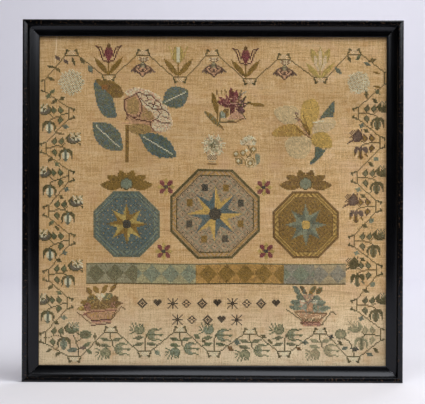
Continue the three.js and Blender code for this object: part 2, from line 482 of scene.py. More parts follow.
# A closed sheet of one thickness: a grid in front, its copy behind, and the edge between them
def makeCloth():
    columns = round(cloth["width"] / cloth["cell"]) + 1
    rows = round(cloth["height"] / cloth["cell"]) + 1
    x, z = np.meshgrid(np.linspace(-0.5, 0.5, columns) * cloth["width"],
                       np.linspace(-0.5, 0.5, rows) * cloth["height"])
    y = cloth["front"] - clothRise(x, z)
    frontGrid = np.stack((x, y, z + middle[2]), axis=-1).reshape(-1, 3)
    backGrid = np.stack((x, y + cloth["thickness"], z + middle[2]), axis=-1).reshape(-1, 3)
    count = len(frontGrid)
    number = np.arange(count).reshape(rows, columns)
    corners = (number[:-1, :-1], number[:-1, 1:], number[1:, 1:], number[1:, :-1])
    quads = np.stack(corners, axis=-1).reshape(-1, 4)
    rim = np.concatenate((number[0, :-1], number[:-1, -1], number[-1, :0:-1], number[:0:-1, 0]))
    following = np.roll(rim, -1)
    edge = np.stack((rim, rim + count, following + count, following), axis=-1)
    faces = np.concatenate((quads, quads[:, ::-1] + count, edge))
    mesh = bpy.data.meshes.new("linenCloth")
    mesh.from_pydata(np.concatenate((frontGrid, backGrid)).tolist(), [], faces.tolist())
    return addSmooth("linenCloth", mesh, agedLinen())


linenCloth = makeCloth()
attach(linenCloth, "root")
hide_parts("sampler_cloth")
print("cloth made")

boardFinish = pressedHardboard()
for slot in bpy.data.objects["backing_board"].material_slots:
    slot.material = boardFinish
print("board finished")


# Charting: a chart is a dictionary of stitches, (column, row) to thread. The middle of the cloth is (0, 0),
# columns count to the right and rows count down
def lineCells(points):
    cells = []
    for (c0, r0), (c1, r1) in zip(points, points[1:]):
        steps = max(1, round(max(abs(c1 - c0), abs(r1 - r0))))
        for i in range(steps + 1):
            cells.append((round(c0 + (c1 - c0) * i / steps), round(r0 + (r1 - r0) * i / steps)))
    return cells


def insideCells(outline):
    columns = [c for c, r in outline]
    rows = [r for c, r in outline]
    cells = []
    for r in range(math.floor(min(rows)), math.ceil(max(rows)) + 1):
        for c in range(math.floor(min(columns)), math.ceil(max(columns)) + 1):
            inside = False
            for (c0, r0), (c1, r1) in zip(outline, outline[1:] + outline[:1]):
                if (r0 > r) != (r1 > r) and c < c0 + (c1 - c0) * (r - r0) / (r1 - r0):
                    inside = not inside
            if inside:
                cells.append((c, r))
    return cells


# A closed outline rounded by cutting its corners a quarter of the way along each side
def rounded(outline):
    cut = []
    for (c0, r0), (c1, r1) in zip(outline, outline[1:] + outline[:1]):
        cut.append((0.75 * c0 + 0.25 * c1, 0.75 * r0 + 0.25 * r1))
        cut.append((0.25 * c0 + 0.75 * c1, 0.25 * r0 + 0.75 * r1))
    return cut


# A pointed oval from its base to its tip, fullest halfway, with saw teeth if it has any
def leafOutline(base, tip, width, teeth=0, toothSize=0.0, steps=24):
    along = (tip[0] - base[0], tip[1] - base[1])
    length = math.hypot(*along)
    across = (-along[1] / length, along[0] / length)
    sides = []
    for side in (1, -1):
        edge = []
        for i in range(steps + 1):
            t = i / steps
            half = width / 2 * math.sin(math.pi * t) ** 0.8
            if teeth and 0 < i < steps:
                half += toothSize * (0.5 - (t * teeth) % 1)
            edge.append((base[0] + along[0] * t + across[0] * half * side,
                         base[1] + along[1] * t + across[1] * half * side))
        sides.append(edge)
    return sides[0] + sides[1][::-1][1:-1]


def ovalOutline(centre, halfWidth, halfHeight, steps=24):
    angles = [2 * math.pi * i / steps for i in range(steps)]
    return [(centre[0] + halfWidth * math.cos(a), centre[1] + halfHeight * math.sin(a)) for a in angles]


def sew(chart, cells, thread):
    for cell in cells:
        chart[cell] = thread


# Sews a closed shape in one thread, and its edge in another
def fill(chart, outline, thread, edge=None):
    sew(chart, insideCells(outline), thread)
    if edge:
        sew(chart, lineCells(outline + outline[:1]), edge)


def draw(chart, points, thread):
    sew(chart, lineCells(points), thread)


# A plain leaf, with its ends drawn out to a point
def sewLeaf(chart, base, tip, width, thread):
    fill(chart, leafOutline(base, tip, width), thread)
    draw(chart, [base, tip], thread)


# Moves points to a place, mirrored where asked
def place(points, at, flip=1, up=1):
    return [(c * flip + at[0], r * up + at[1]) for c, r in points]


# Sews a small given chart: its middle goes to the place, its letters name threads
def stamp(chart, rows, at, threads, flip=1, up=1):
    width, height = len(rows[0]), len(rows)
    at = (math.floor(at[0] + 0.5), math.floor(at[1] + 0.5))
    for r, row in enumerate(rows):
        for c, letter in enumerate(row):
            if letter != ".":
                chart[place([(c - width // 2, r - height // 2)], at, flip, up)[0]] = threads[letter]


# Small charts of the border. Their side towards the vine is on the left
bell = [
    "....dddddd..",
    "..dddttdddd.",
    ".ddddttddddd",
    ".dd.wttw.ddd",
    "dd.wwttww.dd",
    "dd.wwttww.dd",
    "dd.wwttww..d",
    ".d.wwttww..d",
    ".d..wttw...d",
    "d...dttd....",
    ".....tt.....",
]
bellFlower = [
    ".ccc.cc.ccc.",
    "ccccccccccc.",
    "cccccccccccc",
    "cccc.ccc.ccc",
    "ccc..gcg.ccc",
    ".c...gdg..cg",
    ".gg..gdg..gg",
    "gg...gdg...g",
    "g...ggdgg...",
    "....gddg....",
    ".....gg.....",
]
thistle = [
    "....w..g..w.g",
    "...d.w.g.w.g.",
    "..dd..w.g.ww.",
    ".ddc.w.wdg.ww",
    "ddcc.dddw.w..",
    "ddcccwddwwcww",
    ".dccccwcwwccw",
    ".ddcccccccccd",
    "..ddccccccd..",
    "....ddddd..dd",
    "............d",
]
thistleHead = [
    ".d..d.........",
    ".d.ddd.d.d....",
    "..ddcdd.d.d...",
    ".ddcccdd.d.d..",
    ".ddccccdd.d...",
    ".ddcccccdd....",
    ".dccccccd.d...",
    ".dccccccdd.d..",
    ".ddcccccd.....",
    "..dcccccdd....",
    "...ddddd.ddd..",
    "...........dd.",
    ".............d",
]
sideTulip = [
    "....ddddd..dd.",
    "..ddggggddd...",
    ".dggggg.......",
    ".dgcgc........",
    "dggcggc.......",
    "dddddddddddddd",
    "dggcggc....dd.",
    ".dgcgc........",
    ".dggggg.......",
    "..ddggggddd...",
    "....dddd...dd.",
]
tuftedHead = [
    ".......d..d..",
    ".d.dd..d..d..",
    ".dd.d.d..d...",
    ".dgdg.dg.d..d",
    "dggggdgdg..d.",
    "dgggddgdg.d..",
    "dggggdggg.ddd",
    "dgggggggdg...",
    ".dgggggg.dd..",
    "..ddddg....dd",
]
hangingPink = [
    ".......s.w.w.s.......",
    "......w.s.s.s.w......",
    ".......s.w.w.s.......",
    "........s.s.s........",
    ".........gg..........",
    "........gbbg.........",
    "......ssgggss........",
    "....scccgbbgccc......",
    "...ccppcgbbgcppcc....",
    "..ccpgccppppccgpcc...",
    ".sccppcppccppcppccs..",
    "sscccppcpccpcppcccss.",
    "s.scccppccccppcccs.ss",
    "...s.cccppppccc.s....",
    ".......ccppcc........",
    "........cppc.........",
    ".........cc..........",
]
smallLeaf = [
    "...d.",
    "..dd.",
    ".dggd",
    "dgggd",
    "dgggd",
    ".dgd.",
    "..d..",
]

threadColours = {
    "darkOlive": "#504d2c", "oliveGold": "#86692c", "gold": "#c4a45a", "goldOlive": "#b49d58",
    "greyGreen": "#6b6c50", "leafGreen": "#5c6849", "blueTeal": "#4b6568", "slateTeal": "#5b6a5c",
    "greyTeal": "#7d8872", "paleBlue": "#9b9f90", "paleLine": "#d8d2b2", "cream": "#d8c29c",
    "crimson": "#7a363f", "darkCrimson": "#4c1c20", "dustyPink": "#a57868", "palePink": "#c29a80",
    "mauve": "#ccb68a", "plum": "#6b4650", "brown": "#6d5029", "roseTan": "#b28c68",
    "roseOlive": "#a98a58", "roseBrown": "#99804d", "ink": "#241f1a", "taupe": "#a99a78",
    "rust": "#8a5a2a", "greyTan": "#ab9272", "bandLeft": "#8e8c70", "bandTeal": "#a19c76",
    "bandRight": "#8b8979", "goldBrown": "#7c6126", "linenPink": "#c79c78", "vineBrown": "#6b5b34",
    "darkPlum": "#523a34", "smokePlum": "#66544c", "navy": "#343a36", "ochre": "#b08a4a",
    "fadedMoss": "#908d6c", "maroon": "#804c40", "smoke": "#5f5c50",
}
# Which thread each motif takes for each of its parts, or for each letter of its chart
looks = {
    "tulip": {"leaf": "oliveGold", "edge": "darkCrimson", "petal": "crimson", "tip": "brown"},
    "paleTulip": {"leaf": "oliveGold", "edge": "goldOlive", "petal": "paleLine"},
    "paleFullTulip": {"leaf": "goldOlive", "edge": "goldOlive", "petal": "cream"},
    "pink": {"g": "greyGreen", "b": "taupe", "c": "darkPlum", "p": "linenPink", "s": "smokePlum",
             "w": "paleLine"},
    "leftRosette": {"light": "paleLine", "dark": "taupe", "spare": "fadedMoss"},
    "rightRosette": {"light": "paleLine", "dark": "taupe", "spare": "paleLine"},
    # sprays
    "pale": {"stem": "darkOlive", "d": "darkOlive", "g": "leafGreen", "t": "slateTeal", "w": "paleLine",
             "c": "smoke"},
    "plum": {"stem": "vineBrown", "d": "darkPlum", "g": "oliveGold", "c": "smokePlum", "t": "darkOlive",
             "w": "greyGreen"},
    "deep": {"stem": "vineBrown", "d": "darkOlive", "g": "greyGreen", "c": "darkOlive", "t": "darkOlive",
             "w": "greyGreen"},
    "greyish": {"stem": "darkOlive", "d": "leafGreen", "g": "fadedMoss", "c": "greyTeal",
                "leaf": "greyGreen"},
    "dusky": {"stem": "darkOlive", "d": "leafGreen", "g": "greyTeal", "c": "fadedMoss", "leaf": "leafGreen"},
    "faded": {"stem": "darkOlive", "d": "fadedMoss", "g": "taupe", "c": "fadedMoss", "t": "greyGreen",
              "leaf": "fadedMoss", "w": "taupe"},
    "lowerLeft": {"stem": "darkOlive", "d": "darkOlive", "g": "leafGreen", "t": "slateTeal", "w": "greyTeal",
                  "c": "leafGreen"},
}

# The vine of each side: flats on the outer and inner levels, joined by slanting runs
vineSides = {
    "top": {"outer": (-125, -125, -125, -122, -126), "inner": (-108, -107, -105, -107), "outwards": (0, -1),
            "outerStart": -127, "innerStart": -95, "step": 60.7, "flat": 11, "thread": "vineBrown",
            "lace": "cream"},
    "left": {"outer": (-145, -143, -141, -141, -143), "inner": (-124, -124, -123, -125), "outwards": (-1, 0),
             "outerStart": -104, "innerStart": -80, "step": 54.2, "flat": 10, "thread": "vineBrown"},
    "right": {"outer": (147, 144, 140, 141, 145), "inner": (125, 124, 122, 124), "outwards": (1, 0),
              "outerStart": -111, "innerStart": -81, "step": 55.0, "flat": 10, "thread": "vineBrown"},
    "bottom": {"outer": (134, 129, 129, 129, 133), "inner": (113, 113, 114, 114), "outwards": (0, 1),
               "outerStart": -124, "innerStart": -93, "step": 60.0, "flat": 11, "thread": "darkOlive",
               "lace": "paleLine"},
}
# Steps of a twig: towards the middle of its flat, away from the vine
twigSteps = ((0, 0), (0, 1), (0, 2), (1, 2), (1, 3), (1, 4), (2, 4), (2, 5), (1, 5), (3, 4))


def vineFlats(side):
    s = vineSides[side]
    flats = []
    for k, level in enumerate(s["outer"]):
        start = s["outerStart"] + s["step"] * k
        flats.append(((start, level), (start + s["flat"], level), "outer"))
        if k < len(s["inner"]):
            start = s["innerStart"] + s["step"] * k
            flats.append(((start, s["inner"][k]), (start + s["flat"], s["inner"][k]), "inner"))
    if side in ("left", "right"):
        flats = [((a[1], a[0]), (b[1], b[0]), level) for a, b, level in flats]
    return flats


def sewVine(chart, side):
    s = vineSides[side]
    flats = vineFlats(side)
    outC, outR = s["outwards"]
    for (a, b, level), following in zip(flats, flats[1:] + [None]):
        draw(chart, [a, b], s["thread"])
        if following:
            draw(chart, [b, following[0]], s["thread"])
        away = 1 if level == "outer" else -1
        if "lace" in s:  # pale lace between the knots
            lace = [(round(a[0]) + lean, a[1] + outR * out * away)
                    for lean in range(3, s["flat"] - 2) for out in range(1, 5) if (lean + out) % 2]
            sew(chart, lace, s["lace"])
        for end, inwards in ((a, 1), (b, -1)):
            for lean, out in twigSteps:
                cell = (end[0] + abs(outR) * lean * inwards + outC * out * away,
                        end[1] + abs(outC) * lean * inwards + outR * out * away)
                chart[(round(cell[0]), round(cell[1]))] = "darkOlive"


# A spray of the side borders: a branch from the vine with three leaves, a hanging bell and a thistle
def sideSpray(chart, at, flip, droop, look, bellChart=bell, thistleChart=thistle):
    fork = (13, 1.1 * droop - 1.6)
    branch = [(0, 0), (4, 0.2 * droop - 0.5), (8, 0.9 * droop - 2), fork, (16.5, 1.2 * droop + 0.5)]
    draw(chart, place(branch, at, flip), look["stem"])
    draw(chart, place([fork, (16, droop - 4)], at, flip), look["stem"])
    for leafAt, up in (((7.2, 0.6 * droop - 6), 1), ((13, 0.6 * droop - 6), 1), ((6.6, 0.3 * droop + 4), -1)):
        stamp(chart, smallLeaf, place([leafAt], at, flip)[0], look, flip, up)
    stamp(chart, thistleChart, place([(22.7 - 0.4 * droop, droop - 8)], at, flip)[0], look, flip)
    stamp(chart, bellChart, place([(16.8, 1.4 * droop + 5.3)], at, flip)[0], look, flip)


# A spray of the bottom border, upwards from a low flat or hanging from a high one
def bottomSpray(chart, at, up, look):
    if up > 0:
        stem = [(0, 0), (0.7, -7), (1, -11.5), (2.3, -15), (4.3, -17)]
        leaves = (((-1, -7), (-9, -5)), ((2, -6.5), (10, -5.5)), ((-1, -12), (-9, -11)))
        tulipAt, headAt = (9.5, -14), (-7, -19)
    else:
        stem = [(0, 0), (-0.7, 3), (0.7, 7), (2, 11), (4, 15), (6.5, 18)]
        leaves = (((-1, 7), (-9, 5)), ((1, 7), (9, 5)), ((-1, 12), (-9, 10.5)))
        tulipAt, headAt = (10, 14), (-7, 18)
    draw(chart, place(stem, at), look["stem"])
    for base, tip in leaves:
        fill(chart, place(leafOutline(base, tip, 3.6), at), look["leaf"])
        draw(chart, place([base, tip], at), look["d"])
    stamp(chart, sideTulip, place([tulipAt], at)[0], look)
    stamp(chart, tuftedHead, place([headAt], at)[0], look, -1, up)


# The stalk of a tulip and its two leaves, each from its foot to a tip
def tulipStalk(chart, at, height, leafTip, leafWidth, look):
    draw(chart, place([(0, 0), (0, -height)], at), look["leaf"])
    for flip in (1, -1):
        sewLeaf(chart, at, place([leafTip], at, flip)[0], leafWidth, look["leaf"])


def tulip(chart, at, look):
    tulipStalk(chart, at, 11, (12, -15), 4.6, look)
    petal = [(0, -11), (4, -12), (6, -15), (7, -19), (8, -22), (11, -25), (7, -24), (5, -21), (4, -16)]
    for flip in (1, -1):
        draw(chart, place(petal, at, flip), look["edge"])
    fill(chart, place(leafOutline((0, -11), (0, -27), 6.4), at), look["petal"])
    fill(chart, place(leafOutline((0, -22), (0, -28), 3.4), at), look["tip"])


def paleTulip(chart, at, look):
    tulipStalk(chart, at, 11, (12, -14), 4.4, look)
    for flip in (1, -1):
        draw(chart, place([(1, -11), (5, -15), (6, -20), (8, -25)], at, flip), look["edge"])
        fill(chart, place([(1.5, -12), (4, -15), (4.5, -22), (1.5, -26)], at, flip), look["edge"])
    fill(chart, place([(-1.5, -24.5), (1.5, -24.5), (1.5, -11.5), (-1.5, -11.5)], at), look["petal"])


def paleFullTulip(chart, at, look):
    tulipStalk(chart, at, 12, (12, -13), 4.6, look)
    for flip in (1, -1):
        fill(chart, place(leafOutline((1, -8), (8, -26), 6), at, flip), look["edge"])
        fill(chart, place(leafOutline((1, -6), (5, -20), 4), at, flip), look["petal"])
    fill(chart, place(leafOutline((0, -8), (0, -27), 5), at), look["petal"], look["edge"])


# A round flower head of open lace: pale stitches on every other place, greyer ones between them
def rosette(chart, at, radius, look):
    for r in range(-radius - 1, radius + 2):
        for c in range(-radius - 1, radius + 2):
            reach = math.hypot(c, r) - 0.5 * math.cos(8 * math.atan2(r, c))
            if reach > radius or (reach > radius - 1.2 and (c + r) % 2) or (2 * c + r) % 5 == 0:
                continue
            spare = "dark" if c < 3 - r or c % 2 else "spare"
            chart[(at[0] + c, at[1] + r)] = look["light" if (c + r) % 2 == 0 else spare]


# Single leaves along the slanting runs, by thread: from where, to where, width
singleLeaves = {
    "smokePlum": ((-135, -125, -132, -121, 3), (-128, -122, -125, -118, 3)),
    "darkOlive": (
        (-121, -123, -119, -117, 2.4), (-114, -123, -111, -118, 3), (-142, -116, -137, -115, 3),
        (-142, -106, -137, -104, 3), (116, -125, 118, -120, 2.6), (-134, -87, -139, -84, 3),
        (-132, -87, -128, -89, 3), (-138, -37, -141, -33, 3), (-132, -4, -129, -2, 3),
        (-135, 22, -132, 25, 3), (-134, 50, -130, 52, 3), (-138, 72, -141, 76, 3),
        (-136, 104, -132, 106, 3), (131, -95, 132, -89, 3),
        (137, -88, 141, -85, 3), (130, -62, 134, -60, 3), (134, -34, 138, -31, 3), (127, -6, 131, -4, 3),
        (129, 20, 133, 22, 3), (127, 49, 131, 51, 3), (129, 76, 134, 78, 3), (-138, 128, -142, 130, 2.4),
        (-131, 130, -134, 134, 3.4), (-101, 119, -101, 114, 2.4), (-100, 121, -97, 125, 3),
        (-8, 119, -6, 122, 3), (42, 115, 46, 117, 4), (48, 119, 51, 122, 3), (108, 120, 112, 123, 3),
        (139, 126, 143, 129, 3)),
    "slateTeal": (
        (-107, -116, -104, -110, 4), (130, -119, 135, -117, 3), (105, -115, 110, -110, 4),
        (-129, -64, -124, -63, 4), (-128, -10, -124, -9, 4), (-129, 45, -125, 44, 4), (126, -66, 130, -65, 4),
        (126, 100, 130, 101, 4), (19, 120, 24, 122, 4.6), (77, 121, 82, 122, 4), (133, 130, 138, 132, 4)),
    "vineBrown": ((-135, -115, -132, -111, 3), (-144, -90, -140, -89, 3), (134, -120, 140, -122, 4),
                  (-134, -58, -128, -57, 2)),
    "leafGreen": (
        (127, -125, 123, -122, 3), (-140, -92, -137, -96, 3), (-141, -92, -143, -88, 3),
        (-136, -33, -132, -29, 3), (-137, 17, -140, 21, 3), (-134, 78, -130, 80, 3), (139, -96, 143, -92, 3),
        (-111, 126, -105, 122, 3.6), (-108, 128, -104, 131, 3.6), (-15, 115, -11, 118, 4)),
    "oliveGold": ((138, -111, 143, -110, 2), (138, -99, 144, -98, 2)),
    "greyTeal": ((-130, 100, -125, 101, 4), (142, -38, 139, -36, 4), (123, -11, 127, -10, 4),
                 (138, 15, 135, 18, 4), (122, 44, 126, 45, 4), (139, 70, 136, 73, 4),
                 (-50, 128, -45, 133, 3.4)),
    "brown": ((14, 125, 18, 128, 4), (72, 126, 76, 128, 3)),
    "navy": ((100, 116, 104, 117, 4),),
}


def sewBorder(chart):
    for side in vineSides:
        sewVine(chart, side)
    # the vine's runs round the four corners
    for ends in ([(-127, -125), (-145, -104)], [(128, -126), (147, -111)]):
        draw(chart, ends, "vineBrown")
    for ends in ([(-143, 123), (-124, 134)], [(145, 119), (127, 133)]):
        draw(chart, ends, "darkOlive")
    for at in ((-90, -108), (28, -106)):
        tulip(chart, at, looks["tulip"])
    paleTulip(chart, (-30, -108), looks["paleTulip"])
    paleFullTulip(chart, (92, -106), looks["paleFullTulip"])
    for at in ((-60, -115), (1, -115), (62, -113)):
        stamp(chart, hangingPink, at, looks["pink"])
    rosette(chart, (-122, -102), 11, looks["leftRosette"])
    rosette(chart, (125, -102), 10, looks["rightRosette"])
    # sprays stand halfway down each flat of the sides, but for the outer flats at the corners
    left, right = vineSides["left"], vineSides["right"]
    for k in range(4):
        if k < 3:
            row = left["outerStart"] + left["step"] * (k + 1) + left["flat"] / 2
            sideSpray(chart, (left["outer"][k + 1], row), 1, 0, looks["pale"])
            row = right["outerStart"] + right["step"] * (k + 1) + right["flat"] / 2
            look = looks["plum" if k < 2 else "deep"]
            sideSpray(chart, (right["outer"][k + 1], row), -1, 2.5, look, bellFlower, thistleHead)
        row = left["innerStart"] + left["step"] * k + left["flat"] / 2
        sideSpray(chart, (left["inner"][k], row), -1, 5, looks["pale"])
        row = right["innerStart"] + right["step"] * k + right["flat"] / 2
        sideSpray(chart, (right["inner"][k], row), 1, 2.5, looks["deep"])
    for k, (a, b, level) in enumerate(vineFlats("bottom")[1:-1]):
        look = looks[("greyish", "greyish", "dusky", "dusky", "greyish", "greyish", "faded")[k]]
        bottomSpray(chart, ((a[0] + b[0]) / 2, a[1]), 1 if level == "outer" else -1, look)
    for thread, leaves in singleLeaves.items():
        for c, r, tipC, tipR, width in leaves:
            sewLeaf(chart, (c, r), (tipC, tipR), width, thread)


def sewLowerCorners(chart):
    draw(chart, [(-115, 133), (-115, 127), (-117, 122), (-112, 118)], "darkOlive")
    draw(chart, [(-117, 121), (-119, 116)], "darkOlive")
    fill(chart, ovalOutline((-109, 115), 4.6, 3.2), "greyGreen", "leafGreen")
    fill(chart, ovalOutline((-108, 115), 1.2, 1.2), "darkOlive")
    fill(chart, leafOutline((-115, 128), (-125, 129), 4), "slateTeal")
    fill(chart, leafOutline((-114, 127), (-108, 126), 3), "smokePlum")
    sideSpray(chart, (-143.5, 118), 1, 0, looks["lowerLeft"])
    draw(chart, [(122, 133), (121, 126), (118, 120), (113, 117)], "darkOlive")
    fill(chart, ovalOutline((110.5, 114), 4.6, 3.8), "fadedMoss", "greyGreen")
    fill(chart, ovalOutline((110.5, 114), 1.4, 1.2), "taupe")
    fill(chart, leafOutline((119, 126), (127, 127), 3.4), "navy")
    fill(chart, leafOutline((117, 125), (111, 127), 3.4), "slateTeal")
    sideSpray(chart, (145, 115), -1, 1, looks["faded"])


# The flowers, leaves and baskets inside the border: shaded shapes, with the threads of each mixed by lot
pick = random.Random(1840)


def sewMix(chart, cells, mix):
    for cell in cells:
        chart[cell] = pick.choice(mix)


# Sews a list of shapes, each its kind, its threads and one or more lists of points: patches, round patches,
# lines, or leaves (base, tip, width)
def sewShapes(chart, shapes):
    for kind, threads, *parts in shapes:
        mix = threads.split()
        for points in parts:
            if kind == "line":
                draw(chart, points, mix[0])
            elif kind == "leaf":
                sewMix(chart, insideCells(leafOutline(*points)), mix)
            else:
                sewMix(chart, insideCells(rounded(points) if kind == "round" else points), mix)


creamMix = "cream cream palePink paleLine"
tealMix = "blueTeal blueTeal slateTeal leafGreen"
heartPetal = [(-76, -87), (-65, -92), (-61, -83), (-61, -78), (-63, -73), (-68, -72), (-73, -74), (-76, -79)]
rose = (
    ("round", "roseTan roseTan roseTan linenPink",
     [(-76, -90), (-70, -96), (-60, -94), (-48, -91), (-42, -82), (-36, -74), (-34, -66), (-38, -60),
      (-50, -58), (-58, -66), (-74, -68), (-75, -78)]),
    # cream petals over the top and down the right side, each in dark outline
    ("round", creamMix,
     [(-76, -94), (-66, -98), (-54, -95), (-46, -91), (-41, -83), (-37, -76), (-34, -66), (-38, -60),
      (-50, -59), (-54, -66), (-49, -70), (-56, -78), (-65, -88), (-73, -90)]),
    ("line", "darkCrimson",
     [(-64, -93), (-66, -91), (-59, -85), (-52, -79), (-49, -79), (-45, -75), (-49, -70), (-54, -68)],
     [(-63, -93), (-58, -91), (-55, -87), (-59, -85)], [(-58, -91), (-53, -91), (-49, -87), (-52, -79)],
     [(-49, -87), (-45, -84), (-44, -79), (-49, -79)], [(-44, -80), (-39, -76), (-38, -74)],
     [(-49, -70), (-44, -67), (-37, -67)], [(-54, -68), (-54, -64), (-51, -61)],
     [(-55, -84), (-50, -83), (-47, -81)], [(-43, -73), (-39, -71)]),
    # the pointed middle petal, and the long one under it
    ("patch", "roseTan linenPink", heartPetal),
    ("patch", "roseOlive roseOlive roseBrown",
     [(-74, -86), (-66, -90), (-63, -83), (-63, -78), (-65, -75), (-69, -74), (-73, -76)]),
    ("line", "darkCrimson", heartPetal + heartPetal[:1], [(-76, -79), (-73, -73), (-75, -70)]),
    ("patch", "roseOlive roseTan roseBrown", [(-60, -79), (-53, -77), (-50, -72), (-55, -69), (-62, -70)]),
    ("line", "darkCrimson", [(-68, -71), (-61, -69), (-54, -68)]),
    # the cup, the stalk, and the leaf and bud on the left
    ("round", "roseBrown roseBrown roseOlive",
     [(-75, -66), (-54, -66), (-53, -60), (-57, -56), (-64, -56), (-71, -59)]),
    ("line", "linenPink", [(-78, -67), (-55, -67)]),
    ("patch", "oliveGold oliveGold brown", [(-75, -65), (-72, -65), (-73, -33), (-76, -33)]),
    ("round", tealMix,
     [(-103, -104), (-101, -88), (-98, -78), (-91, -71), (-82, -71), (-84, -80), (-86, -90), (-92, -95),
      (-96, -102)]),
    ("round", "goldBrown goldBrown brown",
     [(-102, -104), (-94, -104), (-86, -103), (-79, -98), (-76, -91), (-80, -88), (-86, -88), (-91, -94),
      (-97, -98)]),
    ("patch", "rust", [(-95, -100), (-90, -99), (-90, -95), (-95, -96)]),
)
roseLeaves = (((-103, -67), (-78, -44), 20), ((-63, -57), (-31, -38), 18), ((-43, -84), (-21, -95), 19))
carnation = (
    ("patch", "linenPink palePink roseTan", [(12, -70), (17, -76), (21, -78), (25, -76), (28, -70)]),
    # petals that spread like a fan
    ("leaf", "crimson crimson darkCrimson dustyPink", [(17, -80), (2, -86.5), 4.4]),
    ("leaf", "crimson dustyPink crimson", [(17, -81), (4, -90), 3.4]),
    ("leaf", "crimson crimson dustyPink linenPink", [(17, -81), (10, -92), 3.6]),
    ("leaf", "crimson brown crimson darkCrimson", [(17, -80), (15, -98), 5]),
    ("leaf", "crimson crimson dustyPink", [(18, -80), (20, -96), 5]),
    ("leaf", "brown dustyPink linenPink", [(19, -81), (25, -93), 3.6]),
    ("leaf", "darkOlive plum linenPink", [(20, -80), (29, -90), 3.6], [(20, -79), (31, -85), 3.4]),
    ("leaf", "plum plum darkCrimson", [(20, -79), (28, -77), 5]),
    ("line", "darkOlive", [(26, -88), (28, -90)], [(29, -84), (32, -85)], [(2, -87), (4, -86)]),
    ("line", "greyGreen", [(22, -88), (24, -95)]), ("line", "paleBlue", [(25, -92), (28, -94)]),
    ("line", "brown", [(3, -92), (3, -95)]),
    ("line", "roseBrown", [(7, -92), (7, -95)], [(11, -93), (10, -96)]),
    ("line", "darkCrimson", [(12, -82), (25, -81)]), ("line", "linenPink", [(14, -80), (21, -80)]),
    ("line", "palePink", [(15, -84), (20, -84)], [(14, -88), (16, -88)]),
    # the cup and its leaves
    ("patch", "crimson darkCrimson", [(15, -80), (19, -80), (18, -76), (14, -74), (15, -77)]),
    ("round", "roseBrown oliveGold brown", [(8, -79), (14, -80), (14, -74), (11, -71), (8, -72)]),
    ("round", "greyTeal greyTeal paleBlue", [(6, -77), (10, -77), (11, -71), (6, -71)]),
    ("line", "brown", [(6, -68), (19, -68), (26, -71)]),
    ("line", "darkOlive", [(6, -76), (6, -68), (18, -69)], [(24, -77), (28, -71)]),
    ("leaf", "oliveGold", [(4, -74), (-1, -94), 4.6]), ("line", "oliveGold", [(4, -76), (4, -70)]),
    ("leaf", "oliveGold oliveGold greyGreen", [(8, -63), (-8, -78), 4.6]),
    ("line", "brown", [(6, -66), (9, -62)]),
    ("leaf", "oliveGold", [(31, -84), (45, -82), 3.6]),
)
smallFlowers = (
    ("round", "taupe taupe fadedMoss paleLine cream",
     [(-7, -54), (1, -57), (9, -54), (9, -41), (1, -38), (-7, -41)]),
    ("round", "greyGreen greyGreen darkOlive taupe", [(-2, -50), (3, -50), (3, -45), (-2, -45)]),
    ("line", "brown", [(-4, -32), (3, -32)]), ("line", "taupe", [(-3, -34), (2, -34)]),
    ("round", "paleLine cream cream roseBrown",
     [(23, -49), (25, -55), (33, -58), (38, -53), (36, -48), (30, -48)]),
    ("round", "greyTeal greyTeal taupe", [(36, -42), (41, -41), (41, -34), (37, -31)]),
    ("round", "greyGreen taupe", [(18, -37), (25, -38), (26, -33), (22, -31)]),
    ("line", "roseBrown", [(20, -43), (26, -37), (30, -34)], [(27, -42), (31, -38), (37, -44)]),
    ("line", "vineBrown", [(30, -48), (33, -43), (31, -38)]),
    ("round", "mauve cream mauve roseBrown", [(27, -38), (37, -38), (38, -29), (28, -29)]),
)
smallBlooms = ((20, -41, 1.9), (25, -50, 1.4), (29, -53, 1.4), (33, -55, 1.4), (35, -51, 1.4), (35, -45, 1.9),
               (26, -42, 1.9), (22, -35, 1.9), (29, -44, 1.4), (32, -33, 1.9))
lily = (
    ("round", "mauve", [(51, -78), (58, -82), (70, -83), (76, -76), (71, -66), (62, -66), (56, -70)],
     [(61, -50), (65, -55), (75, -57), (84, -54), (85, -46), (80, -37), (72, -36), (64, -40)]),
    ("round", "mauve mauve cream",
     [(84, -60), (88, -67), (95, -71), (105, -71), (106, -65), (98, -59), (90, -57)]),
    ("round", "gold",
     [(76, -84), (82, -88), (90, -88), (92, -78), (90, -70), (85, -65), (84, -56), (80, -56), (76, -66)]),
    ("round", "gold ochre",
     [(48, -57), (56, -64), (63, -66), (71, -67), (79, -58), (74, -55), (64, -55), (57, -55)]),
    ("round", "gold",
     [(84, -56), (91, -60), (98, -59), (103, -52), (102, -45), (94, -45), (88, -47), (84, -51)]),
    # the folded middle of the flower, and its lines
    ("patch", "ochre oliveGold ochre", [(77, -66), (80, -68), (84, -60), (84, -56), (80, -56)]),
    ("line", "brown", [(71, -75), (77, -67), (82, -57)]),
    ("line", "linenPink", [(72, -71), (76, -64), (82, -56)]),
    ("line", "oliveGold", [(78, -74), (80, -66), (83, -57)]),
    ("line", "brown", [(72, -63), (78, -58), (84, -54)]),
    ("line", "plum", [(71, -76), (73, -75)], [(71, -71), (74, -70)]),
    ("line", "paleLine", [(86, -68), (95, -69)]),
    # leaves
    ("patch", "slateTeal slateTeal leafGreen blueTeal",
     [(91, -70), (95, -76), (100, -82), (105, -88), (105, -80), (103, -72), (97, -72)]),
    ("patch", "slateTeal slateTeal blueTeal leafGreen",
     [(88, -46), (92, -46), (95, -44), (98, -46), (93, -38), (88, -33), (83, -31), (84, -34), (88, -38)]),
)
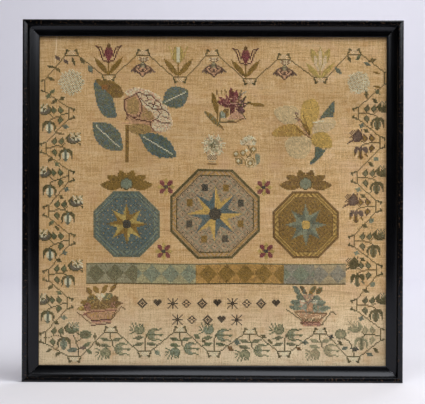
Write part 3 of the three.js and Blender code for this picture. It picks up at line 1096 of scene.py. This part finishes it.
leftBasket = (
    # fruit and leaves
    ("round", "brown oliveGold roseBrown oliveGold",
     [(-112, 88), (-104, 81), (-87, 81), (-79, 86), (-80, 91), (-85, 95), (-108, 96)]),
    ("round", "goldOlive greyGreen oliveGold", [(-107, 81), (-99, 81), (-99, 87), (-107, 88)]),
    ("round", "goldOlive greyGreen leafGreen", [(-93, 80), (-86, 79), (-85, 87), (-93, 87)]),
    ("patch", "brown roseBrown oliveGold brown", [(-101, 86), (-86, 86), (-85, 93), (-101, 93)]),
    ("leaf", "brown oliveGold", [(-104, 81), (-108, 74), 4.6]),
    ("leaf", "oliveGold", [(-98, 80), (-102, 73), 4.6], [(-95, 80), (-90, 72), 4]),
    ("leaf", "brown oliveGold", [(-88, 79), (-82, 71), 4]), ("leaf", "brown", [(-88, 85), (-80, 83), 4]),
    ("leaf", "oliveGold", [(-105, 88), (-114, 87), 4]),
    ("leaf", "oliveGold goldOlive", [(-106, 92), (-117, 93), 4]),
    ("leaf", "brown", [(-86, 88), (-76, 88), 3]),
    ("round", "maroon brown dustyPink", [(-110, 88), (-105, 88), (-104, 95), (-110, 95)]),
    ("patch", "dustyPink brown", [(-87, 87), (-83, 87), (-83, 92), (-87, 92)]),
    ("patch", "paleLine cream cream", [(-100, 81), (-98, 79), (-96, 81), (-94, 79), (-92, 81), (-96, 87)]),
    # the basket, its foot and its handles
    ("patch", "roseTan roseTan linenPink ochre", [(-110, 96), (-83, 94), (-88, 104), (-103, 105)]),
    ("line", "linenPink", [(-111, 96), (-102, 94), (-82, 93)]),
    ("line", "maroon", [(-111, 98), (-103, 95), (-82, 94)], [(-110, 97), (-103, 103)]),
    ("line", "brown", [(-82, 94), (-88, 102)]), ("line", "darkCrimson", [(-104, 103), (-88, 102)]),
    ("line", "dustyPink", [(-103, 104), (-88, 103)]), ("line", "linenPink", [(-104, 105), (-87, 104)]),
    ("line", "darkCrimson", [(-104, 107), (-88, 105)]),
    ("line", "brown", [(-116, 96), (-110, 101), (-105, 105)],
     [(-87, 102), (-81, 95), (-78, 91), (-76, 92), (-75, 93)]),
)
rightBasket = (
    # fruit and leaves
    ("round", "greyTeal linenPink roseTan paleBlue",
     [(72, 86), (77, 80), (91, 80), (97, 86), (97, 92), (94, 97), (76, 97), (71, 92)]),
    ("round", "slateTeal greyTeal leafGreen", [(72, 80), (79, 80), (80, 85), (73, 85)]),
    ("round", "slateTeal greyTeal greyTeal", [(86, 81), (92, 80), (93, 87), (87, 87)]),
    ("leaf", "slateTeal greyTeal", [(76, 81), (70, 72), 4.6]),
    ("leaf", "slateTeal brown", [(81, 80), (76, 72), 3.6]),
    ("leaf", "greyGreen oliveGold", [(84, 80), (89, 72), 4.6]),
    ("leaf", "leafGreen brown", [(90, 80), (94, 73), 4.6]),
    ("leaf", "greyTeal slateTeal", [(78, 88), (67, 86), 5]),
    ("leaf", "slateTeal greyTeal", [(77, 93), (66, 90), 4.6], [(89, 89), (98, 86), 4.6]),
    ("leaf", "greyTeal", [(91, 93), (102, 91), 4.6]),
    ("leaf", "greyTeal paleBlue", [(79, 94), (80, 87), 4.6]),
    ("leaf", "greyTeal slateTeal", [(90, 94), (87, 88), 4.6]),
    ("patch", "linenPink roseTan", [(82, 89), (86, 89), (87, 95), (81, 95)]),
    ("round", "paleLine palePink", [(75, 85), (79, 84), (80, 88), (76, 89)]),
    ("round", "paleLine paleBlue", [(86, 85), (91, 84), (91, 88), (87, 88)]),
    ("patch", "mauve dustyPink", [(79, 80), (83, 83), (87, 80), (87, 83), (83, 87), (79, 83)]),
    ("line", "smoke", [(78, 82), (83, 88), (88, 82)]),
    # the basket, its foot and its handles
    ("patch", "roseTan roseTan cream linenPink", [(73, 96), (98, 97), (92, 105), (78, 105)]),
    ("line", "brown", [(71, 95), (98, 96)], [(72, 96), (79, 103)], [(98, 97), (91, 103)]),
    ("line", "darkOlive",
     [(79, 101), (80, 103), (82, 101), (83, 103), (85, 101), (86, 103), (88, 101), (89, 103), (91, 101)]),
    ("patch", "dustyPink linenPink", [(76, 105), (94, 105), (93, 108), (78, 108)]),
    ("line", "maroon", [(76, 104), (92, 104)]),
    ("line", "brown", [(76, 105), (78, 105)], [(93, 106), (95, 106)]),
    ("line", "darkOlive", [(64, 93), (70, 97), (77, 103)], [(94, 106), (102, 95), (104, 95), (106, 97)]),
)


def sewFlowers(chart):
    sewShapes(chart, rose)
    for (c, r), (tipC, tipR), width in roseLeaves:
        outline = leafOutline((c, r), (tipC, tipR), width, teeth=9, toothSize=1.1, steps=48)
        sewMix(chart, insideCells(outline), tealMix.split())
        draw(chart, [(c + (tipC - c) * t, r + (tipR - r) * t) for t in (0.1, 0.88)], "paleLine")
    sewShapes(chart, carnation)
    sewShapes(chart, smallFlowers)
    # rays of the daisy, and its checked stalk
    for k in range(28):
        a = 2 * math.pi * k / 28
        ray = [(1 + reach * math.cos(a), -48 + reach * math.sin(a)) for reach in (6, 8.5 + k % 2 * 1.5)]
        draw(chart, ray, ("paleLine", "mauve", "linenPink", "paleLine")[k % 4])
    for r in range(-39, -35):
        for c in range(-4, 4):
            chart[(c, r)] = "cream" if (c + r) % 2 else "brown"
    for c, r, size in smallBlooms:
        fill(chart, ovalOutline((c, r), size, size), "paleLine", "roseBrown" if size > 1.5 else None)
    for shapes in (lily, leftBasket, rightBasket):
        sewShapes(chart, shapes)


# The middle: three eight-sided medallions, each its middle, its radius and its threads
medallions = (
    ((2, 11), 38, {"edge": "darkOlive", "tooth": "ochre", "ground": "greyTan", "lattice": "greyTeal",
                   "spot": "navy", "starLight": "gold", "starDark": "blueTeal", "heart": "navy"}),
    ((-74, 20), 28, {"edge": "slateTeal", "tooth": "greyTeal", "ground": "blueTeal", "lattice": "slateTeal",
                     "spot": "gold", "starLight": "oliveGold", "starDark": "goldOlive", "heart": "navy"}),
    ((80, 20), 28, {"edge": "brown", "tooth": "gold", "ground": "oliveGold", "lattice": "brown",
                    "spot": "navy", "starLight": "greyTeal", "starDark": "slateTeal", "heart": "gold"}),
)


def medallion(chart, at, radius, look):
    for r in range(-radius, radius + 1):
        for c in range(-radius, radius + 1):
            a, b = max(abs(c), abs(r)), min(abs(c), abs(r))
            reach = max(a, (a + b) * 0.707)
            fromMiddle = math.hypot(c, r)
            turn = math.atan2(r, c) / (math.pi / 4)
            star = radius * 0.62 / (1 + 2.2 * abs(turn - round(turn)))
            if reach > radius:
                continue
            if reach > radius - 2 or radius - 6 < reach <= radius - 5:
                part = "edge"
            elif reach > radius - 5:
                part = "tooth" if (a + b) % 4 < 2 else "ground"
            elif fromMiddle < star:
                part = "starDark" if math.floor(turn) % 2 else "starLight"
                if fromMiddle < radius * 0.14:
                    part = "heart"
            elif (c + r) % 8 == 4 and (c - r) % 8 == 4:
                part = "spot"
            else:
                part = "ground" if (c + r) % 8 and (c - r) % 8 else "lattice"
            chart[(at[0] + c, at[1] + r)] = look[part]


# The band under the medallions, from left to right: its last column, its ground and its lozenges
bandThreads = ((-65, "bandLeft", "greyGreen"), (-15, "bandTeal", "greyTeal"), (61, "ochre", "oliveGold"),
               (87, "bandRight", "greyTeal"), (114, "taupe", "bandRight"))
ornaments = [
    ["....k....", "...kkk...", "..kk.kk..", ".kk.k.kk.", "kk.kkk.kk", ".kk.k.kk.", "..kk.kk..", "...kkk...",
     "....k...."],
    ["..kk.kk..", ".kkkkkkk.", ".kkkkkkk.", "..kkkkk..", "...kkk...", "....k...."],
    ["k...k...k", ".k..k..k.", "..k.k.k..", "...kkk...", "kkkkkkkkk", "...kkk...", "..k.k.k..", ".k..k..k.",
     "k...k...k"],
    ["...kk....", "..k..k...", ".kk..kk..", "k..kk..k.", ".kk..kk..", "..k..k...", "...kk...."],
]


def sewMiddle(chart):
    for at, radius, look in medallions:
        medallion(chart, at, radius, look)
    for k in range(8):
        a = math.pi / 4 * (k + 0.5)
        c, r = round(2 + 24 * math.cos(a)), round(11 + 24 * math.sin(a))
        tile = [(c - 2.5, r - 3.5), (c + 2.5, r - 3.5), (c + 2.5, r + 2.5), (c - 2.5, r + 2.5)]
        fill(chart, tile, "navy" if k % 2 else "oliveGold")
    for c, r in ((-40, -12), (-42, 43), (44, -12), (46, 43)):
        for k in range(8):
            a = math.pi / 4 * k
            petal = leafOutline((c, r), (c + 8 * math.cos(a), r + 8 * math.sin(a)), 3.4)
            fill(chart, petal, "crimson" if k % 2 else "goldOlive")
        fill(chart, ovalOutline((c, r), 2, 2), "navy")
    for c, mix in ((-74, ("oliveGold", "goldBrown")), (80, ("oliveGold", "brown"))):
        for flip in (1, -1):
            for base, tip in (((0, -13), (17, -22)), ((0, -13), (6, -27)), ((3, -13), (23, -14))):
                sewMix(chart, insideCells(place(leafOutline(base, tip, 8), (c, 0), flip)), mix)
        fill(chart, ovalOutline((c, -15), 5, 5), "greyTeal", "darkOlive")
    for c in range(-108, 115):
        ground, lozenge = next(threads for last, *threads in bandThreads if c <= last)
        halfHeight = 8 - 0.95 * abs((c + 108) % 16 - 8)
        for r in range(54, 72):
            chart[(c, r)] = lozenge if abs(r - 62.5) < halfHeight else ground
        chart[(c, 54)] = "greyGreen"
        chart[(c, 71)] = "darkOlive"
    for count, first, at in ((10, 0, (-60, 88)), (5, 2, (-30, 102))):
        for k in range(count):
            stamp(chart, ornaments[(first + k) % 4], (at[0] + 12.8 * k, at[1]), {"k": "ink"})


# Cross stitches: two strands over a square of the weave, the upper one arched over the lower
stitches = {
    "pitch": 1.4 * mm, "strandWidth": 0.82 * mm, "strandHeight": 0.3 * mm, "archHeight": 0.24 * mm,
    "sink": 0.05 * mm, "shake": 0.05, "shadeSpread": 0.27, "drift": 0.5 * mm, "driftLength": 120 * mm,
    "furthestColumn": 148, "furthestRow": 139, "firstSeed": 11,
}


# The weave isn't quite square, so rows of stitches wander a little
def clothDrift(x, z):
    turns = 2 * math.pi / stitches["driftLength"]
    return (x + stitches["drift"] * np.sin(z * turns + 1) * np.cos(x * turns * 0.6),
            z + stitches["drift"] * np.sin(x * turns * 0.8) * np.cos(z * turns * 0.5 + 2))


# One joined mesh of all the crosses in a chart
def makeStitches(name, chart, colours, seed, finish):
    draws = np.random.default_rng(seed)
    cells = np.array(sorted(chart), dtype=float)
    shades = np.array([colours[chart[(int(c), int(r))]][:3] for c, r in cells])
    count = len(cells)
    # pale threads have faded more evenly than dark ones
    spread = stitches["shadeSpread"] * (1 - shades.mean(axis=1, keepdims=True))
    shades = np.clip(shades * (1 + spread * draws.standard_normal((count, 1))), 0.003, 1)
    half = stitches["pitch"] / 2
    # each strand runs slantwise, in three-cornered sections: share along, rise of its foot, share of width
    strands = (((1, 1), ((-1, 0.0, 0.75), (1, 0.0, 0.75))),
               ((1, -1), ((-1, 0.0, 0.7), (0, stitches["archHeight"], 1.0), (1, 0.0, 0.7))))
    points, quads, ends, base = [], [], [], 0
    for (dirX, dirZ), sections in strands:
        shake = draws.standard_normal((len(sections), 2, count)) * stitches["shake"] * half
        for s, (along, rise, share) in enumerate(sections):
            for side, top in ((-1, 0), (0, 1), (1, 0)):
                aside = side * stitches["strandWidth"] / 2 * share * 0.7071
                out = rise - stitches["sink"] + top * stitches["strandHeight"] * share
                points.append((along * dirX * half - aside * dirZ + shake[s, 0],
                               along * dirZ * half + aside * dirX + shake[s, 1], out))
        for s in range(len(sections) - 1):
            a, b = base + 3 * s, base + 3 * s + 3
            quads += [(a + k, b + k, b + (k + 1) % 3, a + (k + 1) % 3) for k in range(3)]
        last = base + 3 * (len(sections) - 1)
        ends += [(base, base + 1, base + 2), (last + 2, last + 1, last)]
        base += 3 * len(sections)
    x0, z0 = clothDrift(cells[:, 0] * stitches["pitch"], -cells[:, 1] * stitches["pitch"])
    verts = np.empty((count, base, 3))
    for k, (dx, dz, out) in enumerate(points):
        x, z = x0 + dx, z0 + dz
        verts[:, k] = np.stack((x, cloth["front"] - clothRise(x, z) - out, z + middle[2]), axis=-1)
    loops, starts, total = [], [], 0
    first = np.arange(count)[:, None] * base
    for group in (quads, ends):
        index = np.concatenate([first + np.array(face) for face in group])
        loops.append(index.ravel())
        starts.append(total + np.arange(len(index)) * index.shape[1])
        total += index.size
    mesh = bpy.data.meshes.new(name)
    mesh.vertices.add(count * base)
    mesh.vertices.foreach_set("co", verts.ravel())
    mesh.loops.add(total)
    mesh.loops.foreach_set("vertex_index", np.concatenate(loops).astype(np.int32))
    faceStarts = np.concatenate(starts).astype(np.int32)
    mesh.polygons.add(len(faceStarts))
    mesh.polygons.foreach_set("loop_start", faceStarts)
    mesh.update(calc_edges=True)
    mesh.validate()
    dye = mesh.color_attributes.new("threadColour", "FLOAT_COLOR", "POINT")
    rgba = np.ones((count, base, 4))
    rgba[:, :, :3] = shades[:, None, :]
    dye.data.foreach_set("color", rgba.ravel())
    piece = addSmooth(name, mesh, finish)
    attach(piece, "root")
    return piece


threadFinish = twistedThread()
chart = {}
for sewPart in (sewBorder, sewLowerCorners, sewFlowers, sewMiddle):
    sewPart(chart)
linearThreads = {name: linearColour(value) for name, value in threadColours.items()}
inside = {(c, r): name for (c, r), name in chart.items()
          if abs(c) <= stitches["furthestColumn"] and abs(r) <= stitches["furthestRow"]}
# The stitches are nine pieces, three across and three down
areas = {}
for (c, r), name in inside.items():
    across = "left" if c < -50 else "right" if c > 50 else "middle"
    down = "Top" if r < -25 else "Foot" if r > 78 else "Band"
    areas.setdefault(across + down + "Stitches", {})[(c, r)] = name
sewn = [makeStitches(area, cells, linearThreads, stitches["firstSeed"] + k, threadFinish)
        for k, (area, cells) in enumerate(sorted(areas.items()))]
print("stitches sewn:", len(inside))


# The stage: one pale sheet of matte paper, faintly clouded, flat under the frame and curved up behind it
stage = {
    "paper": "#e6e5ec", "cloud": "#d2d0d8", "cloudScale": 3.0, "mostCloud": 0.06, "roughness": 0.9,
    "width": 4.0, "front": -0.5, "back": 3.2, "radius": 0.3, "top": 2.6, "curveSteps": 16,
}


def makeStage():
    finish, tree, shader, place = newMaterial("mattePaper")
    cloud = addNode(tree, "TexNoise", {"Vector": place, "Scale": stage["cloudScale"], "Detail": 2.0})
    colour = overlay(tree, stage["paper"], stage["cloud"], cloud, 0.0, 1.0, stage["mostCloud"])
    setInputs(tree, shader, {"Base Color": colour, "Roughness": stage["roughness"]})
    route = [(stage["front"], 0.0)]
    for step in range(stage["curveSteps"] + 1):
        a = math.pi / 2 * step / stage["curveSteps"]
        route.append((stage["back"] - stage["radius"] * (1 - math.sin(a)),
                      stage["radius"] * (1 - math.cos(a))))
    route.append((stage["back"], stage["top"]))
    verts = [(side * stage["width"] / 2, y, z) for y, z in route for side in (-1, 1)]
    faces = [(2 * k, 2 * k + 1, 2 * k + 3, 2 * k + 2) for k in range(len(route) - 1)]
    mesh = bpy.data.meshes.new("paperSweep")
    mesh.from_pydata(verts, [], faces)
    sweep = addSmooth("paperSweep", mesh, finish)


# Two lamps: a broad one before and above the frame, and one over the paper behind it. In metres and watts
lights = {
    "key": {"place": (0.85, -1.35, 2.15), "aim": (0.0, 0.0, 0.2), "size": (3.9, 2.1), "power": 112,
            "colour": "#ffffff"},
    "top": {"place": (0.6, 2.35, 2.2), "aim": (0.3, 2.45, 0.0), "size": (2.4, 1.0), "power": 40,
            "colour": "#f8f8ff"},
    "room": "#030304", "farWall": "#cbcad2",
}


def addLamp(name, place, aim, size, power, colour):
    lamp = bpy.data.lights.new(name, "AREA")
    lamp.shape = "RECTANGLE"
    lamp.size, lamp.size_y = size
    lamp.energy = power
    lamp.color = linearColour(colour)[:3]
    piece = addObject(name, lamp)
    piece.location = place
    toAim = [aim[i] - place[i] for i in range(3)]
    flat = math.hypot(toAim[0], toAim[1])
    piece.rotation_euler = (math.atan2(flat, -toAim[2]), 0, math.atan2(toAim[1], toAim[0]) - math.pi / 2)


makeStage()
for lampName in ("key", "top"):
    addLamp(lampName, **lights[lampName])
# The room is dark, so that the lamps alone light the frame. Past the paper the camera sees a pale far wall
world = bpy.data.worlds.new("room")
world.use_nodes = True
tree = world.node_tree
seen = addNode(tree, "LightPath").outputs["Is Camera Ray"]
wall = addNode(tree, "Mix", {0: seen, 6: lights["room"], 7: lights["farWall"]}, data_type="RGBA").outputs[2]
tree.links.new(wall, tree.nodes["Background"].inputs[0])
bpy.context.scene.world = world

# The camera: level with the middle of the frame, straight on, from far enough to show no side
view = {
    "distance": 2.2, "pictureWidth": 0.5091, "left": -0.25 * mm, "below": 1.0 * mm,
    "roll": math.radians(-0.18), "sensor": 36.0,
}
cameraData = bpy.data.cameras.new("camera")
cameraData.sensor_width = view["sensor"]
cameraData.lens = view["sensor"] * view["distance"] / view["pictureWidth"]
camera = addObject("camera", cameraData)
camera.location = (view["left"], boxLow[1] - view["distance"], middle[2] - view["below"])
camera.rotation_euler = (math.pi / 2, view["roll"], 0)
bpy.context.scene.camera = camera
print("stage, lights and camera set")
